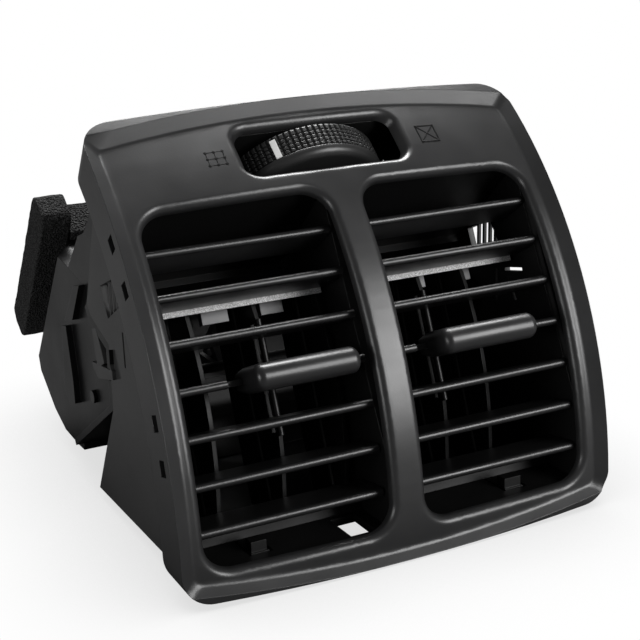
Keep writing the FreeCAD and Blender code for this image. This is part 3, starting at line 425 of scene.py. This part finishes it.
dull.inputs["To Max"].default_value = duct_floor_roughness
links.new(place.outputs["Object"], height.inputs["Vector"])
links.new(place.outputs["Normal"], facing.inputs["Vector"])
links.new(height.outputs["Z"], low.inputs["Value"])
links.new(facing.outputs["Z"], upward.inputs["Value"])
links.new(low.outputs["Result"], shaded_floor_mask.inputs[0])
links.new(upward.outputs["Result"], shaded_floor_mask.inputs[1])
links.new(shaded_floor_mask.outputs["Value"], tone.inputs[0])
links.new(wall_tint, tone.inputs[mix_a])
links.new(tone.outputs[mix_out], skin.inputs["Base Color"])
links.new(shaded_floor_mask.outputs["Value"], dull.inputs["Value"])
links.new(wall_gloss, dull.inputs["To Min"])
links.new(dull.outputs["Result"], skin.inputs["Roughness"])
smooth_copy("rear_duct", "case", duct_black)

# Foam frame
# Four strips of open-cell black foam glued round the neck. Their cut faces are uneven and full of small
# cells, the long edges are soft, and the ends of the side strips are cut round.
foam = bpy.data.materials.new("foam_black")
foam.use_nodes = True
nodes = foam.node_tree.nodes
links = foam.node_tree.links
skin = nodes["Principled BSDF"]
skin.inputs["Roughness"].default_value = 0.97
skin.inputs["Specular IOR Level"].default_value = 0.15
place = nodes.new("ShaderNodeTexCoord")
cells = nodes.new("ShaderNodeTexVoronoi")
cells.inputs["Scale"].default_value = 1500.0
specks = nodes.new("ShaderNodeTexNoise")
specks.inputs["Scale"].default_value = 2300.0
specks.inputs["Detail"].default_value = 6.0
burst = nodes.new("ShaderNodeMapRange")
burst.inputs["From Min"].default_value = 0.38
burst.inputs["From Max"].default_value = 0.72
tint = nodes.new("ShaderNodeMix")
tint.data_type = "RGBA"
tint.inputs[mix_a].default_value = (0.006, 0.006, 0.006, 1.0)
tint.inputs[mix_b].default_value = (0.07, 0.07, 0.07, 1.0)
bump = nodes.new("ShaderNodeBump")
bump.inputs["Strength"].default_value = 1.0
bump.inputs["Distance"].default_value = 0.0006
links.new(place.outputs["Object"], cells.inputs["Vector"])
links.new(place.outputs["Object"], specks.inputs["Vector"])
links.new(specks.outputs["Fac"], burst.inputs["Value"])
links.new(burst.outputs["Result"], tint.inputs[0])
links.new(tint.outputs[mix_out], skin.inputs["Base Color"])
links.new(cells.outputs["Distance"], bump.inputs["Height"])
links.new(bump.outputs["Normal"], skin.inputs["Normal"])

neck = Matrix.Translation((0.0, 0.129, 0.0827)) @ Matrix.Rotation(math.radians(37.1), 4, "X")
foam_t = 0.0126
side_x, side_w, side_top, side_end = 0.0577, 0.0100, -0.0016, 0.0610
cross_w = 0.1054
strips = ((-side_x, side_w, side_top, side_end), (side_x, side_w, side_top, side_end),
          (0.0, cross_w, 0.0060, 0.0105), (0.0, cross_w, 0.0540, 0.0600))
round_end, soft_rim, rim_angle = 0.0038, 0.0008, 0.9
cut_step = 0.0011
lump_scale, lump_depth = 420.0, 0.00016
wave_scale, wave_depth = 130.0, 0.00014
sunk = 0.00022
bm = bmesh.new()
for x, width, s0, s1 in strips:
    size = Vector((width, foam_t, s1 - s0))
    part = bmesh.new()
    bmesh.ops.create_cube(part, size=1.0, matrix=Matrix.Diagonal((*size, 1.0)))
    if width == side_w:
        ends = [e for e in part.edges if abs(e.verts[0].co.x - e.verts[1].co.x) > width / 2]
        bmesh.ops.bevel(part, geom=ends, offset=round_end, segments=5, profile=0.5, affect="EDGES",
                        material=-1)
    rims = [e for e in part.edges if e.calc_face_angle(0.0) > rim_angle]
    bmesh.ops.bevel(part, geom=rims, offset=soft_rim, segments=2, profile=0.5, affect="EDGES", material=-1)
    for axis in range(3):
        steps = int(size[axis] / cut_step)
        for n in range(1, steps):
            point = Vector((0.0, 0.0, 0.0))
            point[axis] = size[axis] * (n / steps - 0.5)
            normal = Vector((0.0, 0.0, 0.0))
            normal[axis] = 1.0
            bmesh.ops.bisect_plane(part, geom=part.verts[:] + part.edges[:] + part.faces[:], dist=0.000001,
                                   plane_co=point, plane_no=normal)
    part.normal_update()
    for vert in part.verts:
        lump = noise.noise(vert.co * lump_scale + Vector((x * 900.0, s0 * 700.0, 0.0)))
        wave = noise.noise(vert.co * wave_scale + Vector((x * 500.0, s0 * 300.0, 5.0)))
        vert.co -= vert.normal * (sunk + lump_depth * lump + wave_depth * wave)
    spot = Matrix.Translation((x, -foam_t / 2, -(s0 + s1) / 2))
    bmesh.ops.transform(part, verts=part.verts, matrix=neck @ spot)
    piece = bpy.data.meshes.new("strip")
    part.to_mesh(piece)
    part.free()
    bm.from_mesh(piece)
    bpy.data.meshes.remove(piece)
pad = fixed_piece(bm, "neck_foam", foam)
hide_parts("neck_gasket")

# Slats
# Seven round-nosed slats in each outlet, moulded in satin black nylon. Each turns on two pins in the
# housing's walls and has a crank pin for the link bar at one end.
slat_count = 7
slat_satin = plastic("slat_satin", (0.008, 0.008, 0.0082), roughness=0.34, scale=2000.0, depth=0.5)
for side in ("left", "right"):
    for n in range(1, slat_count + 1):
        name = side + "_slat_" + str(n)
        smooth_copy(name, name + "_body", slat_satin)

# Slat links
# A thin curved bar beside each row of slats, in bare black nylon. The slats' crank pins sit in its holes, so
# the seven tilt together.
link_black = plastic("link_black", (0.006, 0.006, 0.006), roughness=0.5, scale=1600.0, depth=0.2, shine=0.3)
for side in ("left", "right"):
    smooth_copy(side + "_slat_link", side + "_slat_link_body", link_black)

# Knobs
# The sliding grips on the fourth slats, rounded bars of satin black ABS. Each clips over its slat and reaches
# back with a fork to the middle vane.
knob_satin = plastic("knob_satin", (0.014, 0.014, 0.0144), roughness=0.34, scale=2200.0, depth=0.2)
for side in ("left", "right"):
    smooth_copy(side + "_knob", side + "_knob_body", knob_satin)

# Vanes
# Three upright blades in each chamber and the bar that joins them, moulded in matt black nylon. They turn on
# pins in the rails, and the middle one has the notch and pin for the knob's fork.
vane_count = 3
vane_black = plastic("vane_black", (0.004, 0.004, 0.004), roughness=0.36, scale=1800.0, depth=0.2, shine=0.25)
for side in ("left", "right"):
    for n in range(1, vane_count + 1):
        name = side + "_vane_" + str(n)
        smooth_copy(name, name + "_body", vane_black)
    smooth_copy(side + "_vane_link", side + "_vane_link_body", vane_black)

# Rails
# The bars that hold the vanes' pins, set between the walls of the chambers. The upper ones are of undyed
# light plastic that shows between the slats, the lower ones black.
rail_light = plastic("rail_light", (0.15, 0.15, 0.154), roughness=0.45, scale=700.0, depth=0.3)
rail_black = plastic("rail_black", (0.004, 0.004, 0.004), roughness=0.5, scale=1600.0, depth=0.2, shine=0.2)
for side in ("left", "right"):
    smooth_copy(side + "_upper_rail", "case", rail_light)
    smooth_copy(side + "_lower_rail", "case", rail_black)

# Rail lips
# A thin lip on the front of each upper rail that hides the ends of the vanes. It is moulded with the rail in
# the same light plastic, and its rough skin is full of bright specks.
lip_ends = (("left", -0.0555, -0.0063), ("right", 0.0095, 0.0587))
lip_shelf = (0.1109, 0.1174, 0.0228, 0.0236)
lip_front = (0.1163, 0.1174, 0.0202, 0.0236)
rail_tilt = 23.0
lip_rough = plastic("lip_rough", (0.62, 0.62, 0.62), roughness=0.55, scale=1600.0, depth=1.0)
nodes = lip_rough.node_tree.nodes
links = lip_rough.node_tree.links
place = nodes.new("ShaderNodeTexCoord")
speck = nodes.new("ShaderNodeTexNoise")
speck.inputs["Scale"].default_value = 4200.0
speck.inputs["Detail"].default_value = 2.0
steps = nodes.new("ShaderNodeValToRGB")
steps.color_ramp.elements[0].position = 0.36
steps.color_ramp.elements[0].color = (0.2, 0.2, 0.2, 1.0)
steps.color_ramp.elements[1].position = 0.66
steps.color_ramp.elements[1].color = (0.8, 0.8, 0.8, 1.0)
links.new(place.outputs["Object"], speck.inputs["Vector"])
links.new(speck.outputs["Fac"], steps.inputs["Fac"])
links.new(steps.outputs["Color"], nodes["Principled BSDF"].inputs["Base Color"])
rail_out, rail_up = arc_ways(rail_tilt)
lip_turn = Matrix((Vector((1.0, 0.0, 0.0)), -rail_out, rail_up)).transposed().to_4x4()
for side, x0, x1 in lip_ends:
    bm = bmesh.new()
    for a0, a1, b0, b1 in (lip_shelf, lip_front):
        middle = rail_out * (a0 + a1) / 2 + rail_up * (b0 + b1) / 2 + Vector(((x0 + x1) / 2, face_r, 0.0))
        size = Matrix.Diagonal((x1 - x0, a1 - a0, b1 - b0, 1.0))
        bmesh.ops.create_cube(bm, size=1.0, matrix=Matrix.Translation(middle) @ lip_turn @ size)
    fixed_piece(bm, side + "_rail_lip", lip_rough)

# Thumbwheel
# The knurled wheel in its window, moulded in satin black ABS, with a bar of white plastic let into its rim.
# It turns on a steel pin in the wheel's box.
wheel_satin = plastic("wheel_satin", (0.016, 0.016, 0.016), roughness=0.36, scale=2000.0, depth=0.15)
smooth_copy("thumbwheel", "thumbwheel_body", wheel_satin, sharp=28.0)
marker_white = plastic("marker_white", (0.75, 0.75, 0.74), roughness=0.4, scale=900.0, depth=0.05)
smooth_copy("wheel_marker", "thumbwheel_body", marker_white)

# Pins
# The wheel's headed pin, of drawn steel with faint marks along the wire, and the flap's long axle of the same
# wire, blackened. Both stand still in their bores, and wheel and flap turn on them.
steel = bpy.data.materials.new("drawn_steel")
steel.use_nodes = True
nodes = steel.node_tree.nodes
links = steel.node_tree.links
skin = nodes["Principled BSDF"]
skin.inputs["Base Color"].default_value = (0.55, 0.55, 0.56, 1.0)
skin.inputs["Metallic"].default_value = 1.0
place = nodes.new("ShaderNodeTexCoord")
stretch = nodes.new("ShaderNodeMapping")
stretch.inputs["Scale"].default_value = (30.0, 2500.0, 2500.0)
marks = nodes.new("ShaderNodeTexNoise")
marks.inputs["Scale"].default_value = 1.0
gloss = nodes.new("ShaderNodeMapRange")
gloss.inputs["To Min"].default_value = 0.22
gloss.inputs["To Max"].default_value = 0.42
links.new(place.outputs["Object"], stretch.inputs["Vector"])
links.new(stretch.outputs["Vector"], marks.inputs["Vector"])
links.new(marks.outputs["Fac"], gloss.inputs["Value"])
links.new(gloss.outputs["Result"], skin.inputs["Roughness"])
smooth_copy("wheel_axle", "case", steel)
blackened = steel.copy()
blackened.name = "blackened_steel"
blackened.node_tree.nodes["Principled BSDF"].inputs["Base Color"].default_value = (0.03, 0.03, 0.03, 1.0)
smooth_copy("flap_axle", "case", blackened)

# Control rod
# The flat rod between wheel and flap, moulded in black nylon with a slotted head at each end. One slot takes
# the pin under the wheel, the other the flap's lever.
rod_black = plastic("rod_black", (0.013, 0.013, 0.013), roughness=0.45, scale=1600.0, depth=0.2)
smooth_copy("control_rod", "control_rod_body", rod_black)

# Flap
# The shut-off flap on its long axle, moulded in black polypropylene. A sheet of the same foam is glued to the
# half that meets the duct.
flap_black = plastic("flap_black", (0.004, 0.004, 0.004), roughness=0.45, scale=1400.0, depth=0.3, shine=0.25)
smooth_copy("flap", "flap_body", flap_black)
sheet = smooth_copy("flap_seal", "flap_body", foam)

low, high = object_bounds()
